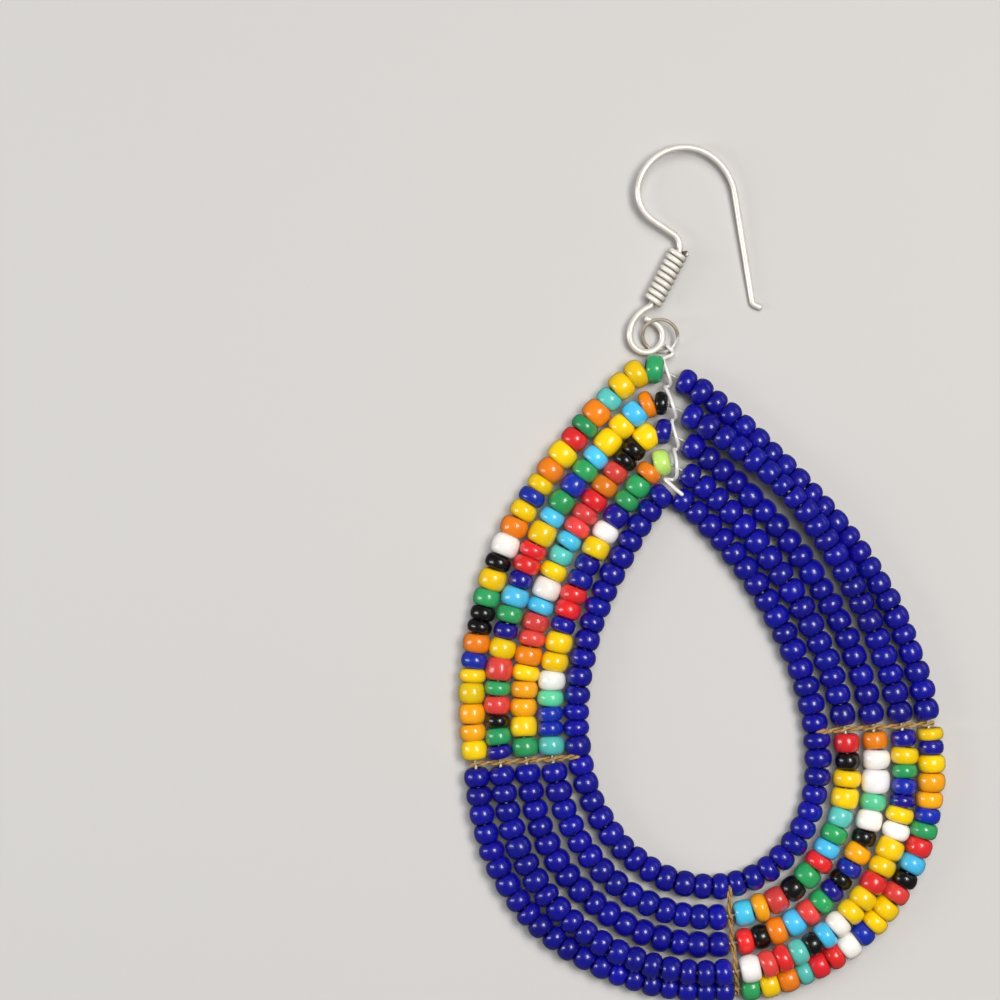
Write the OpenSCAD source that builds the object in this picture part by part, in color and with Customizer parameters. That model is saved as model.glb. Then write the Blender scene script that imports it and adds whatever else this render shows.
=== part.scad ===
// Beaded drop earring on a fish-hook ear wire, lying on its back. Units are millimetres.
// +Z is up from the table and +Y runs along the drop towards the hook.
// The origin is on the table, under the middle of the box round the whole earring.

/* [Strings of beads] */
// Width across a plain blue string
blue_bead_d = 2.25; // [1.8:0.05:2.25]
// Width across a string of mixed colours
mixed_bead_d = 2.4; // [2.25:0.05:2.4]
// Diameter of the wire inside each string
core_wire_d = 0.45; // [0.3:0.05:0.45]
// Length of bare wire where a thread ties the strings together
tie_gap = 0.7; // [0.4:0.1:1.2]
// How far the second and fourth strings ride above the others
even_row_rise = 0.4; // [0.35:0.01:0.42]

/* [Shape of the drop] */
// Width of the innermost string
inner_w = 23.8; // [23:0.1:24.6]
// Length of the innermost string
inner_len = 39.8; // [38:0.2:41]
// How round the very top of a string is
round_top = 0.15; // [0.14:0.01:0.16]
// How far the left thread pulls the outer string in
waist = 0.8; // [0:0.1:0.8]
// How far the outer string bulges above the left thread
bulge = 0.6; // [0:0.1:0.8]
// How far the upper left of every string is pulled in
left_tuck = 0.3; // [0.2:0.05:0.35]
// How far the outer string is tucked under its neighbour at the upper right
side_tuck = 0.6; // [0:0.1:0.6]
// How far the outer string is tucked under its neighbour at the foot
foot_tuck = 0.45; // [0:0.05:0.5]
// How far the fourth string stands out over the outer one at the upper right
overhang = 0.5; // [0:0.1:0.5]
// How much higher the fourth string rides where the outer one is tucked at the upper right
side_rise = 1.7; // [1.7:0.1:2]
// How much higher the fourth string rides where the outer one is tucked at the foot
foot_rise = 1.35; // [1.35:0.05:1.6]

/* [Ear hook] */
// Diameter of the hook's wire
hook_wire_d = 0.66; // [0.5:0.02:0.66]
// Lean of the hook's shank to the right of the drop
shank_lean = 36.3; // [36:0.1:36.6]
// Length of the straight shank
shank_len = 5.8; // [5.6:0.1:6.2]
// Radius of the bend above the coil
neck_r = 1.5; // [1.4:0.1:1.8]
// Length of the straight between the neck and the arch
brow_len = 2.4; // [2.2:0.05:3]
// Radius of the low end of the arch
heel_r = 3.5; // [3:0.1:4]
// Radius of the arch that goes over the ear
arch_r = 4.75; // [4.4:0.05:5.2]
// Radius where the arch runs into the leg
shoulder_r = 5.8; // [5:0.2:7]
// Length of the straight leg behind the ear
leg_len = 10.9; // [8:0.1:13]
// Length of the turned-out tip
tip_len = 0.6; // [0.4:0.1:1]

/* [Coil on the shank] */
// Diameter of the coil's wire
coil_wire_d = 0.56; // [0.4:0.02:0.58]
// Diameter across the coil
coil_d = 2.1; // [2.05:0.05:2.15]
// Distance from turn to turn
coil_pitch = 0.64; // [0.62:0.01:0.66]
// Number of turns
coil_turns = 9; // [8:0.5:9]

/* [Hanger ring and lashing] */
// Diameter of the thin hanger ring's wire
ring_wire_d = 0.35; // [0.3:0.01:0.36]
// Radius of the hanger ring, to the middle of its wire
ring_r = 1.75; // [1.73:0.01:1.77]
// Diameter of the silver wire that laces the tops of the strings together
lacing_d = 0.3; // [0.24:0.02:0.32]

/* [Hidden] */

blue_glass = [0.09, 0.08, 0.60];
silver = [0.80, 0.79, 0.76];

// One row for each string, from the innermost: how much further it reaches to each side
// than the innermost, how much lower its foot is, the height of its top, and its point
SIDE_REACH = 0;
FOOT_REACH = 1;
TOP_Y = 2;
POINT = 3;
strings = [
    [0, 0, 19.1, 0.69],
    [2.85, 3, 22.1, 0.65],
    [5.7, 5.8, 25.3, 0.63],
    [8.5, 8.35, 28.15, 0.60],
    [11.2, 10.65, 31.55, 0.61]
];
outer = 4;
middle_line = -1.25;
lean = 0.7;

// Where each string is bare, as angles clockwise from its top
GAP_END = 0;
GAP_START = 1;
RIGHT_TIE = 2;
FOOT_TIE = 3;
LEFT_TIE = 4;
bare_at = [
    [2, 14.5],
    [5, 18.5, 105.8, 180.2, 258.1],
    [8.5, 20.5, 105, 180.6, 259.6],
    [7.5, 19.5, 104.4, 180.9, 260.8],
    [7, 17.5, 104.5, 181, 261]
];

// Centre and spread, in degrees round the drop, of each dent, swelling and hump
WAIST_AT = [260, 16];
BULGE_AT = [303, 18];
LEFT_TUCK_AT = [325, 30];
SIDE_TUCK_AT = [50, 18];
FOOT_TUCK_AT = [200, 25];
OVERHANG_AT = [55, 18];
SIDE_RISE_AT = [51, 23];
FOOT_RISE_AT = [186, 38];

// A smooth bump of height 1 at an angle round the drop, the short way round
function bump(t, at) = let (off = (t - at[0] + 900) % 360 - 180) exp(-pow(off / at[1], 2));

// The drop's formula for its reach to the side, before it is scaled to a string's width
function reach(t, point) = sin(t) * pow(pow(sin(t / 2), 2) + round_top * round_top, point / 2);
function widest(point) = max([for (t = [60 : 2 : 140]) reach(t, point)]);
widths = [for (s = strings) (inner_w / 2 + s[SIDE_REACH]) / widest(s[POINT])];
half_lens = [for (s = strings) (s[TOP_Y] - strings[0][TOP_Y] + inner_len + s[FOOT_REACH]) / 2];

// Plain teardrop: t is the angle clockwise from the top of string k
function plain_at(k, t) = [
    widths[k] * reach(t, strings[k][POINT]) + middle_line + lean * pow(cos(t), 2),
    strings[k][TOP_Y] - half_lens[k] * (1 - cos(t))
];
function plain_way(k, t) = let (d = plain_at(k, t + 0.5) - plain_at(k, t - 0.5)) d / norm(d);

// How far string k stands out from the plain teardrop
function stand_out(k, t) = (bulge * bump(t, BULGE_AT) - waist * bump(t, WAIST_AT)) * k / outer
    - left_tuck * bump(t, LEFT_TUCK_AT)
    - (k == outer ? side_tuck * bump(t, SIDE_TUCK_AT) + foot_tuck * bump(t, FOOT_TUCK_AT) : 0)
    + (k == outer - 1 ? overhang * bump(t, OVERHANG_AT) : 0);

// Height of string k's middle above the table
rest_z = mixed_bead_d / 2;
function height_at(k, t) = rest_z + (k % 2 == 0 ? 0 : even_row_rise)
    + (k == outer - 1 ? side_rise * bump(t, SIDE_RISE_AT) + foot_rise * bump(t, FOOT_RISE_AT) : 0);

// Middle of string k at angle t, and its direction there
function string_at(k, t) = let (p = plain_at(k, t), w = plain_way(k, t), s = stand_out(k, t))
    [p[0] - w[1] * s, p[1] + w[0] * s, height_at(k, t)];
function string_way(k, t) = let (d = string_at(k, t + 0.5) - string_at(k, t - 0.5)) d / norm(d);

// One ring of a string's tube: eight corners, with flat sides down and outwards
tube_sides = 8;
function string_ring(k, t, d) = let (
    w = string_way(k, t),
    out = [-w[1], w[0], 0] / norm([w[0], w[1]]),
    up = cross(out, w),
    r = d / 2 / cos(180 / tube_sides)
) [for (j = [0 : tube_sides - 1]) let (a = (j + 0.5) * 360 / tube_sides)
    string_at(k, t) + r * (cos(a) * out - sin(a) * up)];

// Rings of a beaded stretch from angle a to angle b, and of a bare one
ring_step = 6.4;
function stretch(k, a, b, d) = let (n = ceil((b - a) / ring_step))
    [for (i = [0 : n]) string_ring(k, a + (b - a) * i / n, d)];
function bare(k, a, b) = [string_ring(k, a, core_wire_d), string_ring(k, b, core_wire_d)];

// The angle that a length takes up on string k at angle t
function angle_of(k, t, len) = len / norm(string_at(k, t + 0.5) - string_at(k, t - 0.5));

// The innermost string is plain. The others run clockwise from the gap at the top through three ties,
// and their upper right and lower left quarters are blue.
function plain_string(k) = let (first = bare_at[k][GAP_START], last = 360 + bare_at[k][GAP_END])
    concat(stretch(k, first, last, blue_bead_d), bare(k, last, 360 + first));
function tied_string(k) = let (
    at = bare_at[k],
    ties = [for (i = [RIGHT_TIE : LEFT_TIE]) let (h = angle_of(k, at[i], tie_gap) / 2) [at[i] - h, at[i] + h]],
    last = 360 + at[GAP_END]
) concat(
    stretch(k, at[GAP_START], ties[0][0], blue_bead_d),
    bare(k, ties[0][0], ties[0][1]),
    stretch(k, ties[0][1], ties[1][0], mixed_bead_d),
    bare(k, ties[1][0], ties[1][1]),
    stretch(k, ties[1][1], ties[2][0], blue_bead_d),
    bare(k, ties[2][0], ties[2][1]),
    stretch(k, ties[2][1], last, mixed_bead_d),
    bare(k, last, 360 + at[GAP_START])
);

// A skin over rings of points, closed into a loop or capped at both ends
module skin(rings, looped) {
    n = len(rings);
    m = len(rings[0]);
    last = looped ? n - 1 : n - 2;
    sides = [for (i = [0 : last]) for (j = [0 : m - 1]) let (a = i * m, b = (i + 1) % n * m, q = (j + 1) % m)
        each [[a + j, b + j, b + q], [a + j, b + q, a + q]]];
    caps = looped ? [] : [[for (j = [0 : m - 1]) j], [for (j = [m - 1 : -1 : 0]) (n - 1) * m + j]];
    polyhedron([for (r = rings) each r], concat(sides, caps), convexity = 8);
}

// The hook's wire is a chain of bends and straights. A bend has a radius and a turn, to the left
// when it is positive, and a straight has a length. Both chains start at the foot of the shank.
RADIUS = 0;
TURN = 1;
LENGTH = 2;
shank_foot = [0.9, 37.84];
hook_chain = [
    [0, 0, shank_len],
    [neck_r, 84, 0],
    [0, 0, brow_len],
    [heel_r, -73, 0],
    [arch_r, -111.5, 0],
    [shoulder_r, -42.5, 0],
    [0, 0, leg_len],
    [0.45, 57, 0],
    [0, 0, tip_len]
];
eye_chain = [
    [0.5, -40, 0],
    [3.1, 67, 0],
    [1.67, 139, 0],
    [1.57, 106, 0],
    [0, 0, 0.85]
];

// Where a chain has got to: across the shank, along it, and its heading to the left of that
function step(at, piece) = let (h = at[2], r = piece[RADIUS], a = piece[TURN], s = sign(a))
    r == 0 ? [at[0] - piece[LENGTH] * sin(h), at[1] + piece[LENGTH] * cos(h), h]
    : [at[0] + s * r * (cos(h + a) - cos(h)), at[1] + s * r * (sin(h + a) - sin(h)), h + a];
function along(chain, at, n) = n == 0 ? at : step(along(chain, at, n - 1), chain[n - 1]);

// Points of a chain with their headings, close together round the bends
bend_step = 12;
function part_of(piece, u) = [piece[RADIUS], piece[TURN] * u, piece[LENGTH] * u];
function chain_line(chain, at) = concat(
    [for (n = [0 : len(chain) - 1]) let (k = max(ceil(abs(chain[n][TURN]) / bend_step), 1))
        for (i = [0 : k - 1]) step(along(chain, at, n), part_of(chain[n], i / k))],
    [along(chain, at, len(chain))]
);
eye_line = chain_line(eye_chain, [0, 0, 180]);
hook_line = concat(
    [for (i = [len(eye_line) - 1 : -1 : 1]) eye_line[i] + [0, 0, 180]],
    chain_line(hook_chain, [0, 0, 0])
);
hook_sides = 10;
function hook_ring(p) = [for (j = [0 : hook_sides - 1]) let (a = j * 360 / hook_sides, r = hook_wire_d / 2)
    [p[0] + r * cos(a) * cos(p[2]), p[1] + r * cos(a) * sin(p[2]), -r * sin(a)]];

// The hook lies on its coil and on its tip, so its plane tips about the coil's axis
leg_end = along(hook_chain, [0, 0, 0], len(hook_chain));
hook_tip = asin((coil_d - hook_wire_d) / 2 / leg_end[0]);
module on_shank() translate([shank_foot[0], shank_foot[1], coil_d / 2]) rotate(-shank_lean)
    rotate([0, hook_tip, 0]) children();
function from_shank(p) = let (x = p[0] * cos(hook_tip) + p[2] * sin(hook_tip)) [
    shank_foot[0] + x * cos(shank_lean) + p[1] * sin(shank_lean),
    shank_foot[1] - x * sin(shank_lean) + p[1] * cos(shank_lean)
];

// The origin goes under the middle of the box round the whole earring
outer_points = [for (r = tied_string(outer)) each r];
hook_points = [for (q = hook_line) for (p = hook_ring(q)) from_shank(p)];
middle_x = (min([for (p = outer_points) p[0]]) + max([for (p = outer_points) p[0]])) / 2;
middle_y = (min([for (p = outer_points) p[1]]) + max([for (p = hook_points) p[1]])) / 2;
module placed() translate([-middle_x, -middle_y, 0]) children();

module ear_hook() color(silver) placed() on_shank() skin([for (p = hook_line) hook_ring(p)], false);

// Left-handed helix round the shank
coil_sides = 6;
coil_steps = 10;
coil_foot = 0.1;
coil_foot_turn = 20;
function coil_ring(i) = let (
    a = coil_foot_turn + i * 360 / coil_steps,
    r = (coil_d - coil_wire_d) / 2,
    y = coil_foot + coil_wire_d / 2 + coil_pitch * i / coil_steps,
    slope = atan(coil_pitch / (2 * PI * r)),
    out = [cos(a), 0, sin(a)],
    way = [-sin(a) * cos(slope), sin(slope), cos(a) * cos(slope)]
) [for (j = [0 : coil_sides - 1]) let (b = j * 360 / coil_sides)
    r * out + [0, y, 0] + coil_wire_d / 2 * (cos(b) * out + sin(b) * cross(way, out))];

module hook_coil() color(silver) placed() on_shank()
    skin([for (i = [0 : coil_turns * coil_steps]) coil_ring(i)], false);

// The ring goes over the tucked end of the hook's eye and under the front of its loop
ring_at = [1.3, 34.64, 1.03];
ring_uphill = 64;
ring_slope = 26.5;
round_sides = 48;

module hanger_ring() color(silver) placed() translate(ring_at) rotate(ring_uphill) rotate([0, -ring_slope, 0])
    rotate_extrude($fn = round_sides) translate([ring_r, 0]) circle(d = ring_wire_d, $fn = round_sides);

// The lacing: hooked round the ring, then down the gap, in front of each string and behind between them
lacing_route = [
    [2.0, 33.35, 0.17], [1.85, 33.56, 0.6], [2.15, 33.14, 1.02], [2.36, 32.78, 0.75], [2.05, 32.5, 0.9],
    [1.55, 32.4, 1.15], [1.22, 32.2, 1.4], [1.29, 31.6, 1.6], [1.42, 30.9, 1.68], [1.55, 30.2, 1.55],
    [1.6, 29.75, 1.1], [1.4, 29.5, 0.82], [1.14, 29.5, 0.85], [0.97, 29.47, 1.25], [1.12, 29.05, 1.85],
    [1.3, 28.2, 2.2], [1.46, 27.25, 2.28], [1.58, 26.5, 1.7], [1.58, 26.22, 1.1], [1.42, 26.12, 0.8],
    [1.2, 26.12, 1.05], [1.13, 25.7, 1.5], [1.2, 25.0, 1.72], [1.32, 24.2, 1.72], [1.44, 23.55, 1.3],
    [1.38, 23.22, 0.9], [1.12, 23.15, 0.88], [0.92, 23.15, 1.25], [0.93, 22.55, 1.9], [0.93, 21.9, 2.12],
    [0.87, 21.2, 2.12], [0.76, 20.5, 1.7], [0.42, 20.22, 1.25], [-0.05, 20.28, 1.4], [-0.45, 20.36, 1.85],
    [-0.1, 19.9, 2.2], [0.45, 19.2, 2.47], [0.95, 18.64, 2.53]
];
lacing_steps = 2;

// A smooth line through the route's points, which passes each one in the direction
// from the point before it to the point after
function smooth(route, i, u) = let (
    n = len(route),
    a = route[max(i - 1, 0)], b = route[i], c = route[min(i + 1, n - 1)], d = route[min(i + 2, n - 1)]
) 0.5 * (2 * b + (c - a) * u + (2 * a - 5 * b + 4 * c - d) * pow(u, 2) + (3 * b - a - 3 * c + d) * pow(u, 3));
lacing_line = [for (i = [0 : len(lacing_route) - 2]) for (s = [0 : lacing_steps - 1])
    smooth(lacing_route, i, s / lacing_steps), lacing_route[len(lacing_route) - 1]];

// Rings are carried along the line, each turned as little as it can be from the one before
function turned(side, way) = let (s = side - (side * way) * way) s / norm(s);
function line_way(line, i) = let (d = line[min(i + 1, len(line) - 1)] - line[max(i - 1, 0)]) d / norm(d);
function line_sides(line, i) = i == 0 ? [turned([1, 0, 0], line_way(line, 0))]
    : let (before = line_sides(line, i - 1)) concat(before, [turned(before[i - 1], line_way(line, i))]);
sides_along = line_sides(lacing_line, len(lacing_line) - 1);
lacing_corners = 6;
function lacing_ring(i) = let (side = sides_along[i], other = cross(line_way(lacing_line, i), side))
    [for (j = [0 : lacing_corners - 1]) let (a = j * 360 / lacing_corners)
        lacing_line[i] + lacing_d / 2 * (cos(a) * side + sin(a) * other)];

module top_lashing() color(silver) placed()
    skin([for (i = [0 : len(lacing_line) - 1]) lacing_ring(i)], false);

module bead_string(rings) color(blue_glass) placed() skin(rings, true);
module bead_row_1() bead_string(plain_string(0));
module bead_row_2() bead_string(tied_string(1));
module bead_row_3() bead_string(tied_string(2));
module bead_row_4() bead_string(tied_string(3));
module bead_row_5() bead_string(tied_string(4));

bead_row_1();
bead_row_2();
bead_row_3();
bead_row_4();
bead_row_5();
ear_hook();
hook_coil();
hanger_ring();
top_lashing();
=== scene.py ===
"""Looks of a beaded drop earring, lying flat: single glass beads strung on wire,
twisted thread ties, and bent silver wires.

Lengths are millimetres until a mesh is made. Shapes are worked out in the drop's own frame,
where +Y runs from the round foot towards the hook, and are moved to the model's frame last.
"""

import math

import bpy
import numpy as np
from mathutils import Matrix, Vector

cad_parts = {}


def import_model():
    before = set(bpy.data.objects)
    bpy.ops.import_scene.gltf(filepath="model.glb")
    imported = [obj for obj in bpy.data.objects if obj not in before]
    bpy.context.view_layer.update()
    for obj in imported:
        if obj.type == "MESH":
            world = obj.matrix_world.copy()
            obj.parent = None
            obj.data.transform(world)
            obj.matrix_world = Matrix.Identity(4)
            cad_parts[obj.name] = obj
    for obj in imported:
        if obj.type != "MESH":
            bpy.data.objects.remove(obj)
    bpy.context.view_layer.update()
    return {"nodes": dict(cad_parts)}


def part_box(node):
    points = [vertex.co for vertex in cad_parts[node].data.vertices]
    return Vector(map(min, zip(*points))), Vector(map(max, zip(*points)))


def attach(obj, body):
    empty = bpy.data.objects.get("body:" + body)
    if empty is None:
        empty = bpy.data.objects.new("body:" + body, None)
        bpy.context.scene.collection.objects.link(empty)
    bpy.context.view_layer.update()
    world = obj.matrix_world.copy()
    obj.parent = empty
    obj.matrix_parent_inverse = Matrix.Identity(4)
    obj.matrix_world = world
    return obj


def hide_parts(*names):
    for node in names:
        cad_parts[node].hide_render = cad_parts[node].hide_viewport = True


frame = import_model()

MM = 0.001
TURN = 2 * np.pi

# The hanger ring's middle in the drop's frame. Where the ring lies in the model gives the way from the
# drop's frame to the model's.
RING_AT = np.array([1.3, 34.64, 1.03])
ring_low, ring_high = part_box("hanger_ring")
TO_MODEL = (np.array(ring_low) + np.array(ring_high)) / 2 / MM - RING_AT
TO_MODEL[2] = 0.0

# Strings of beads, from the innermost: half width, height of the top and of the foot, how pointed
STRINGS = [
    (11.9, 19.1, -20.7, 0.69),
    (14.75, 22.1, -23.7, 0.65),
    (17.6, 25.3, -26.5, 0.63),
    (20.4, 28.15, -29.05, 0.60),
    (23.1, 31.55, -31.35, 0.61),
]
OUTER = 4

# How round a string's top is, where the strings' middle line is, and how far top and foot lean off it
ROUND_TOP = 0.15
MIDDLE_LINE = -1.25
LEAN = 0.7

# Height of a lying string's middle, and how much higher the second and fourth string ride
REST_Z = 1.2
EVEN_ROW_RISE = 0.4

# Dents, swellings and humps of the strings: how much, where round the drop and how wide, in degrees
WAIST = (0.8, 260, 16)
BULGE = (0.6, 303, 18)
LEFT_TUCK = (0.3, 325, 30)
SIDE_TUCK = (0.6, 50, 18)
FOOT_TUCK = (0.45, 200, 25)
OVERHANG = (0.5, 55, 18)
SIDE_RISE = (1.7, 51, 23)
FOOT_RISE = (1.35, 186, 38)

# Angles clockwise from the top, in degrees: where the last bead left of the top gap ends and the first
# one right of it begins, and the right, foot and left tie. Then how much wire is bare at a tie.
GAPS = [(4.7, 12.7), (8.8, 18.4), (11.3, 19.6), (10.3, 18.6), (9.8, 17.1)]
TIES = [
    None,
    (105.8, 180.2, 258.1),
    (105.0, 180.6, 259.6),
    (104.4, 180.9, 260.8),
    (104.5, 181.0, 261.0),
]
TIE_GAP = 0.8

# Beads in the innermost string, and in the upper right, lower right, lower left and upper left stretch
# of each tied string
INNER_COUNT = 54
COUNTS = [None, (16, 13, 14, 19), (18, 16, 16, 22), (21, 19, 19, 24), (23, 21, 21, 26)]

# Colour of the bead at the left of each tied string's top gap
LAST_COLOURS = [None, "lime", "navy", "black", "green"]

# Seed beads: the bore, the mean and spread of a radius, its limits, and how high a bead may reach
BORE_R = 0.36
BLUE_R = (1.355, 0.035)
MIXED_R = (1.41, 0.04)
BEAD_LIMITS = (1.12, 1.5)
HIGHEST_BEAD = 4.45

# Spread of the beads' lengths as a share, how much longer than its room a bead is, so that it touches
# the next, and how far it may press into the string beside it
LENGTH_SPREAD_BLUE = 0.06
LENGTH_SPREAD_MIXED = 0.11
TOUCH = 1.03
OVERLAP = 0.09

# The wire inside a string: its radius, and its step round the drop in degrees
CORE_WIRE_R = 0.155
CORE_STEP = 1.5

# Colour on a screen, and how much lighter or darker a bead may be than the next, as a share
BLUE_GLASS = (12, 11, 137)
BLUE_SHADES = 0.05
MIXED_SHADES = 0.03
HUE_SPREAD = 2.0

# Colour on a screen, how many of the mixed beads have it, and how big they are beside the rest
MIXED_GLASS = {
    "yellow": ((239, 199, 4), 33, 1.03),
    "red": ((216, 38, 40), 14, 1.0),
    "coral": ((217, 66, 60), 11, 1.01),
    "green": ((44, 156, 92), 17, 0.98),
    "black": ((6, 4, 5), 14, 0.91),
    "orange": ((231, 127, 18), 11, 1.02),
    "navy": ((20, 16, 134), 12, 0.93),
    "white": ((243, 238, 235), 11, 1.06),
    "cyan": ((74, 192, 236), 11, 0.98),
    "amber": ((242, 166, 12), 9, 1.02),
    "mid_blue": ((17, 43, 164), 9, 0.95),
    "teal": ((88, 190, 180), 6, 0.97),
    "mint": ((90, 206, 156), 2, 0.98),
    "lime": ((186, 226, 110), 1, 0.98),
}

# Chance that a mixed bead is swapped for one of the colour before it
DOUBLE_CHANCE = 0.14


def linear(rgb):
    """Scene-linear colour of an 8-bit screen colour, by the usual two-part curve."""
    c = np.asarray(rgb, float) / 255
    return np.where(c <= 0.04045, c / 12.92, ((c + 0.055) / 1.055) ** 2.4)


def bump(t, at):
    """A smooth hump of the given size round an angle: size times exp(-(offset / width) squared)."""
    size, centre, width = at
    offset = (t - centre + 180) % 360 - 180
    return size * np.exp(-((offset / width) ** 2))


# Angles among which a teardrop's widest place is looked for, in degrees
WIDEST_AMONG = np.arange(60, 141, 2)

# The step in which a string's length is measured, and how far on past its top, in degrees
RUN_STEP = 0.25
RUN_END = 400


def reach(t, point):
    """Sideways reach of a teardrop: sin t times (sin(t/2) squared + round top squared) to the point / 2."""
    a = np.radians(t)
    return np.sin(a) * (np.sin(a / 2) ** 2 + ROUND_TOP**2) ** (point / 2)


def plain_drop(k, t):
    """Teardrop of string k: its reach scaled to the half width, and a cosine from the top to the foot."""
    half_w, top, foot, point = STRINGS[k]
    widest = reach(WIDEST_AMONG, point).max()
    x = half_w / widest * reach(t, point) + MIDDLE_LINE + LEAN * np.cos(np.radians(t)) ** 2
    y = top - (top - foot) / 2 * (1 - np.cos(np.radians(t)))
    return np.stack([x, y], -1)


def heading(line, k, t):
    """Direction of a string's line, from half a degree before each angle to half a degree after."""
    way = line(k, t + 0.5) - line(k, t - 0.5)
    return way / np.linalg.norm(way, axis=-1, keepdims=True)


def string_at(k, t):
    """Middle of string k at angles t: the plain teardrop, moved outwards along its normal by the
    dents and swellings, at the height where the string lies."""
    t = np.asarray(t, float)
    way = heading(plain_drop, k, t)
    out = np.stack([-way[..., 1], way[..., 0]], -1)
    off = (bump(t, BULGE) - bump(t, WAIST)) * k / OUTER - bump(t, LEFT_TUCK)
    z = REST_Z + EVEN_ROW_RISE * (k % 2) + 0 * t
    if k == OUTER:
        off = off - bump(t, SIDE_TUCK) - bump(t, FOOT_TUCK)
    if k == OUTER - 1:
        off = off + bump(t, OVERHANG)
        z = z + bump(t, SIDE_RISE) + bump(t, FOOT_RISE)
    return np.concatenate([plain_drop(k, t) + out * off[..., None], z[..., None]], -1)


def frames_at(k, t):
    """Middle, direction, outward side and upward side of string k at angles t."""
    way = heading(string_at, k, t)
    out = np.stack([-way[:, 1], way[:, 0], 0 * way[:, 0]], -1)
    out /= np.linalg.norm(out, axis=-1, keepdims=True)
    return string_at(k, t), way, out, np.cross(way, out)


def lengths_along(k):
    """Angles from string k's top round to past its top, and the length run from it to each of them."""
    t = np.arange(0, RUN_END + RUN_STEP, RUN_STEP)
    steps = np.linalg.norm(np.diff(string_at(k, t), axis=0), axis=1)
    return t, np.concatenate([[0], np.cumsum(steps)])


def mesh_object(name, verts, faces, material, smooth=True):
    """A mesh in the model's frame, in metres, from points in the drop's frame, in millimetres, and
    lists of faces."""
    mesh = bpy.data.meshes.new(name)
    points = (np.asarray(verts).reshape(-1, 3) + TO_MODEL) * MM
    mesh.from_pydata(points.tolist(), [], faces)
    mesh.polygons.foreach_set("use_smooth", np.full(len(mesh.polygons), smooth))
    mesh.materials.append(material)
    mesh.update()
    obj = bpy.data.objects.new(name, mesh)
    bpy.context.scene.collection.objects.link(obj)
    return obj


def grid_faces(rows, columns, loop_rows):
    """Quads of a grid whose columns close on themselves, and whose rows do too if asked."""
    r = np.arange(rows if loop_rows else rows - 1)[:, None]
    c = np.arange(columns)[None, :]
    after, beside = (r + 1) % rows, (c + 1) % columns
    quads = [r * columns + c, r * columns + beside, after * columns + beside, after * columns + c]
    return np.stack(np.broadcast_arrays(*quads), -1).reshape(-1, 4)


def point_values(obj, name, kind, values):
    """Stores one value or colour for each point of a mesh."""
    field = "color" if kind == "FLOAT_COLOR" else "value"
    layer = obj.data.attributes.new(name, kind, "POINT")
    layer.data.foreach_set(field, np.asarray(values, np.float32).ravel())


def points_of(obj):
    """A mesh's points in the drop's frame, in millimetres."""
    points = np.zeros(len(obj.data.vertices) * 3)
    obj.data.vertices.foreach_get("co", points)
    return points.reshape(-1, 3) / MM - TO_MODEL


def tube_uv(obj, lengths, sides):
    """UV map of a swept wire with an even number of sides: millimetres along it, and the share of the
    way round, which is 1 and not 0 where a quad of the last column ends."""
    corners = np.zeros(len(obj.data.loops), np.int32)
    obj.data.loops.foreach_get("vertex_index", corners)
    ring, column = corners // sides, (corners % sides).reshape(-1, 4)
    ends_the_round = (column[:, :1] == sides - 1) & (column == 0)
    around = np.where(ends_the_round, 1.0, column / sides).ravel()
    layer = obj.data.uv_layers.new(name="wire")
    layer.data.foreach_set("uv", np.stack([lengths[ring], around], -1).astype(np.float32).ravel())


# Materials


def node_group(name, inputs, outputs):
    """An empty shader node group with named input and output sockets."""
    group = bpy.data.node_groups.new(name, "ShaderNodeTree")
    for label, kind, value in inputs:
        socket = group.interface.new_socket(label, in_out="INPUT", socket_type=kind)
        if value is not None:
            socket.default_value = value
    for label, kind in outputs:
        group.interface.new_socket(label, in_out="OUTPUT", socket_type=kind)
    return group, group.nodes.new("NodeGroupInput"), group.nodes.new("NodeGroupOutput")


def add(tree, kind, **settings):
    """A node with its settings and the values of its inputs, which are given by name or number."""
    node = tree.nodes.new(kind)
    for key, value in settings.pop("values", {}).items():
        node.inputs[key].default_value = value
    for key, value in settings.items():
        setattr(node, key, value)
    return node


def mottle_group():
    """Soft patches: noise on the given coordinates, less a half, times the contrast, plus a half, and
    kept between 0 and 1."""
    group, source, result = node_group(
        "mottle",
        [("Vector", "NodeSocketVector", None), ("Scale", "NodeSocketFloat", 500.0),
         ("Contrast", "NodeSocketFloat", 2.0)],
        [("Mask", "NodeSocketFloat")],
    )
    noise = add(group, "ShaderNodeTexNoise", values={"Detail": 4.0, "Roughness": 0.6})
    centre = add(group, "ShaderNodeMath", operation="SUBTRACT", values={1: 0.5})
    stretch = add(group, "ShaderNodeMath", operation="MULTIPLY_ADD", use_clamp=True, values={2: 0.5})
    group.links.new(source.outputs["Vector"], noise.inputs["Vector"])
    group.links.new(source.outputs["Scale"], noise.inputs["Scale"])
    group.links.new(noise.outputs["Fac"], centre.inputs[0])
    group.links.new(centre.outputs[0], stretch.inputs[0])
    group.links.new(source.outputs["Contrast"], stretch.inputs[1])
    group.links.new(stretch.outputs[0], result.inputs["Mask"])
    return group


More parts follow.
